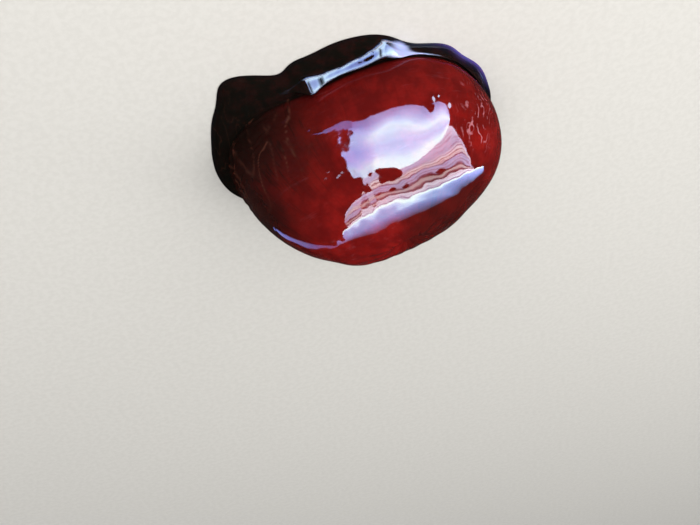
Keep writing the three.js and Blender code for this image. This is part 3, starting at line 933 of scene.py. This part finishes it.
# Small flags that hold back the light, and small bright cards: outlines of (azimuth, elevation).
cards = {
    "flag": {"bright": 0.0, "tint": (0, 0, 0), "aim": (-4, -9, 18), "away": 480, "outlines": [
        [(20.6, 30.7), (17.3, 31), (9, 34), (2.9, 37), (-1.8, 41.5), (0.7, 44), (8.4, 42.6), (18.6, 40),
         (19.5, 36.6)],
        [(15.6, 47.4), (10.3, 47.4), (5.5, 49.4), (11.3, 50.1)],
        [(-1.4, 49.9), (-5.2, 49.6), (-11.1, 51.3), (-6.0, 51.5)],
        [(-54.9, 44.3), (-65.9, 40.9), (-81.1, 36.3), (-68.8, 41.5)],
        [(76, 49.5), (68, 52.3), (68.5, 53.6), (75, 53.8), (84, 53.2), (92, 50.6), (98, 46.9), (88, 46)]]},
    "notch": {"bright": 0.0, "tint": (0, 0, 0), "aim": (0, -13, 14), "away": 482, "outlines": [
        [(25.3, -5), (24.95, -3.2), (24.65, -2), (24.33, -0.8), (24.3, 1), (24.3, 2.5), (24.28, 4.2),
         (24.42, 5.6), (24.32, 6.9), (24.45, 9), (24.38, 12), (24.7, 16), (25.1, 19.5), (25.2, 24),
         (25.8, 27), (27, 24), (28, 12), (27.8, 2), (27, -4)],
        [(-26.7, 0.9), (-30.9, 4), (-33.2, 5.8), (-36.4, 4.9), (-38.3, 1.4), (-38, -4), (-31.8, -8),
         (-25, -6)]]},
    "droplet": {"bright": 26, "tint": (0.55, 0.70, 0.98), "aim": (0, -13, 14), "away": 490, "outlines": [
        [(-40.2, -6.5), (-44.5, -9.4), (-44.4, -6.6), (-40.5, -3.2), (-39, -2)],
        [(-50, -8), (-51.3, -10.2), (-53, -11), (-53.6, -10)],
        [(-56, -1.2), (-61.1, -5.2), (-61.2, -2.6), (-58, 1.4)],
        [(27.95, 20.6), (27.8, 20.7), (27.5, 21.5), (27.65, 21.5)],
        [(31.8, 16.5), (31.65, 16.55), (31.65, 16.75), (31.8, 16.75)]]},
}

# How the lights are made. Only part of a softbox's light falls on what doesn't mirror it, and only from
# above the fade's height in mm, so that no glare or shade falls where a sheet nears the floor.
glow = {
    "steps": (84, 14),
    "outlineSteps": 48,
    "stripeTint": (0.42, 0.22, 0.30),
    "diffuseShare": 0.15,
    "diffuseTint": (0.62, 0.61, 0.60),
    "fadeHigh": 120,
    "floorGap": 1.0,
    "floorGapAt": 500,
    "floorStep": 0.02,
}


def toward(azimuth, elevation):
    az, el = math.radians(azimuth), math.radians(elevation)
    return np.array([math.sin(az) * math.cos(el), -math.cos(az) * math.cos(el), math.sin(el)])


# A smooth curve through a row of points, by cubic pieces.
def smoothCurve(points, steps):
    points = np.array(points)
    padded = np.concatenate([2 * points[:1] - points[1:2], points, 2 * points[-1:] - points[-2:-1]])
    out = []
    for at in np.linspace(0, len(points) - 1, steps):
        k = min(int(at), len(points) - 2)
        t = at - k
        a, b, c, d = padded[k:k + 4]
        out.append(0.5 * (2 * b + (c - a) * t + (2 * a - 5 * b + 4 * c - d) * t ** 2
                          + (3 * b - a - 3 * c + d) * t ** 3))
    return np.array(out)


# Where a line of sight from the aim meets the light's shell, or the floor inside it.
def onShell(directions, aim, away):
    directions = directions / np.linalg.norm(directions, axis=-1, keepdims=True)
    nearer = glow["floorGapAt"] - away
    floorHigh = glow["floorGap"] + glow["floorStep"] * nearer  # nearer sheets lie over farther ones
    down = np.maximum(-directions[..., 2:], 1e-6)
    reach = np.minimum(away, (aim[2] - floorHigh) / down)
    return np.array(aim) + directions * reach


# Light that the wet skin mirrors in full, and that lights the rest more softly.
def addGlow(tree, colour, bright, face):
    glossy = addNode(tree, "ShaderNodeLightPath").outputs["Is Glossy Ray"]
    spot = addNode(tree, "ShaderNodeNewGeometry").outputs["Position"]
    high = addNode(tree, "ShaderNodeSeparateXYZ", None, {"Vector": spot}).outputs["Z"]
    lifted = addNode(tree, "ShaderNodeMapRange", {"interpolation_type": "SMOOTHSTEP"}, {
        "Value": high, "From Min": 0.0, "From Max": glow["fadeHigh"] * mm}).outputs["Result"]
    thick = addMath(tree, "MULTIPLY", addMath(tree, "MAXIMUM", glossy, lifted), face)
    softer = bright * glow["diffuseShare"]
    strength = addMath(tree, "MULTIPLY_ADD", glossy, bright - softer, softer)
    shown = addMix(tree, glossy, glow["diffuseTint"], colour)
    light = addNode(tree, "ShaderNodeEmission", None, {"Color": shown, "Strength": strength}).outputs[0]
    clear = addNode(tree, "ShaderNodeBsdfTransparent").outputs[0]
    mixed = addNode(tree, "ShaderNodeMixShader", None, {0: thick, 1: clear, 2: light})
    addNode(tree, "ShaderNodeOutputMaterial", None, {"Surface": mixed.outputs[0]})


# A sheet of light that the camera doesn't see and that casts no shadow. Its points are in mm.
def stageLight(name, points, faces, material):
    mesh = bpy.data.meshes.new(name)
    mesh.from_pydata((points * mm).tolist(), [], faces)
    mesh.materials.append(material)
    light = bpy.data.objects.new(name, mesh)
    light.visible_camera = False
    light.visible_shadow = False
    bpy.context.scene.collection.objects.link(light)
    return light


def makeSoftboxMaterial(name, box):
    material = bpy.data.materials.new(name + "Face")
    material.use_nodes = True
    tree = material.node_tree
    tree.nodes.clear()
    along, across = (addNode(tree, "ShaderNodeAttribute", {"attribute_name": key}).outputs["Fac"]
                     for key in ("along", "across"))
    softEnds, softNear, softFar = box["soft"]
    lines, lineShare = box["lines"]
    face = addNode(tree, "ShaderNodeGroup", {"node_tree": softFace}, {
        "Along": along, "Across": across, "Soft Ends": softEnds, "Soft Near": softNear,
        "Soft Far": softFar, "Ragged": box["ragged"], "Tears": box["tears"], "Waver": box["waver"],
        "Bend": box["bend"], "Lines": lines, "Seed": box["seed"]}).outputs
    ramp = addNode(tree, "ShaderNodeValToRGB", None, {"Fac": face["Place"]})
    stops = ramp.color_ramp.elements
    while len(stops) < len(box["look"]):
        stops.new(1.0)
    for stop, (place, colour) in zip(stops, box["look"]):
        stop.position = place
        stop.color = (*colour, 1)
    clouded = addMath(tree, "MULTIPLY", face["Cloud"], box["cloud"])
    colour = addMix(tree, clouded, ramp.outputs["Color"], box["cloudTint"])
    striped = addMath(tree, "MULTIPLY", face["Stripe"], lineShare)
    colour = addMix(tree, striped, colour, glow["stripeTint"], "MULTIPLY")
    over, tint = box["start"]
    fade = addNode(tree, "ShaderNodeMapRange", {"interpolation_type": "SMOOTHSTEP"}, {
        "Value": along, "From Min": 0.0, "From Max": over, "To Min": 1.0, "To Max": 0.0})
    colour = addMix(tree, fade.outputs["Result"], colour, tint, "MULTIPLY")
    addGlow(tree, colour, box["bright"], face["Face"])
    return material


def makeSoftbox(name, box):
    steps, rows = glow["steps"]
    near, far = (smoothCurve([toward(*spot) for spot in box[edge]], steps) for edge in ("near", "far"))
    share = np.linspace(0, 1, rows + 1)[:, None, None]
    points = onShell(near * (1 - share) + far * share, box["aim"], box["away"]).reshape(-1, 3)
    faces = [(k * steps + i, k * steps + i + 1, (k + 1) * steps + i + 1, (k + 1) * steps + i)
             for k in range(rows) for i in range(steps - 1)]
    softbox = stageLight(name + "_softbox", points, faces, makeSoftboxMaterial(name, box))
    along, across = np.meshgrid(np.linspace(0, 1, steps), share.ravel())
    for key, values in (("along", along), ("across", across)):
        attribute = softbox.data.attributes.new(key, "FLOAT", "POINT")
        attribute.data.foreach_set("value", values.ravel().astype(np.float32))


def makeCards(name, card):
    count = glow["outlineSteps"]
    points, faces = [], []
    for outline in card["outlines"]:
        loop = [toward(*spot) for spot in outline]
        ring = smoothCurve(loop + loop[:1], count + 1)[:-1]
        middle = ring.mean(0, keepdims=True)
        first = len(points)
        points.extend(onShell(np.concatenate([ring, middle]), card["aim"], card["away"]))
        faces.extend((first + count, first + i, first + (i + 1) % count) for i in range(count))
    material = bpy.data.materials.new(name + "Card")
    material.use_nodes = True
    material.node_tree.nodes.clear()
    addGlow(material.node_tree, card["tint"], card["bright"], 1.0)
    stageLight(name + "_cards", np.array(points), faces, material)


for name, box in softboxes.items():
    makeSoftbox(name, box)
for name, card in cards.items():
    makeCards(name, card)
print("softboxes made:", len(softboxes))

# A light tent all round: it lights every surface, and shows only dimly in the wet skin.
tent = {"tint": (0.95, 0.97, 1.0), "lit": 0.36, "mirrored": 0.02}


def makeTent():
    world = bpy.data.worlds.new("tent")
    bpy.context.scene.world = world
    world.use_nodes = True
    tree = world.node_tree
    background = tree.nodes["Background"]
    background.inputs["Color"].default_value = (*tent["tint"], 1)
    glossy = addNode(tree, "ShaderNodeLightPath").outputs["Is Glossy Ray"]
    strength = addMath(tree, "MULTIPLY_ADD", glossy, tent["mirrored"] - tent["lit"], tent["lit"])
    tree.links.new(strength, background.inputs["Strength"])


makeTent()
bpy.context.scene.view_settings.view_transform = "Standard"
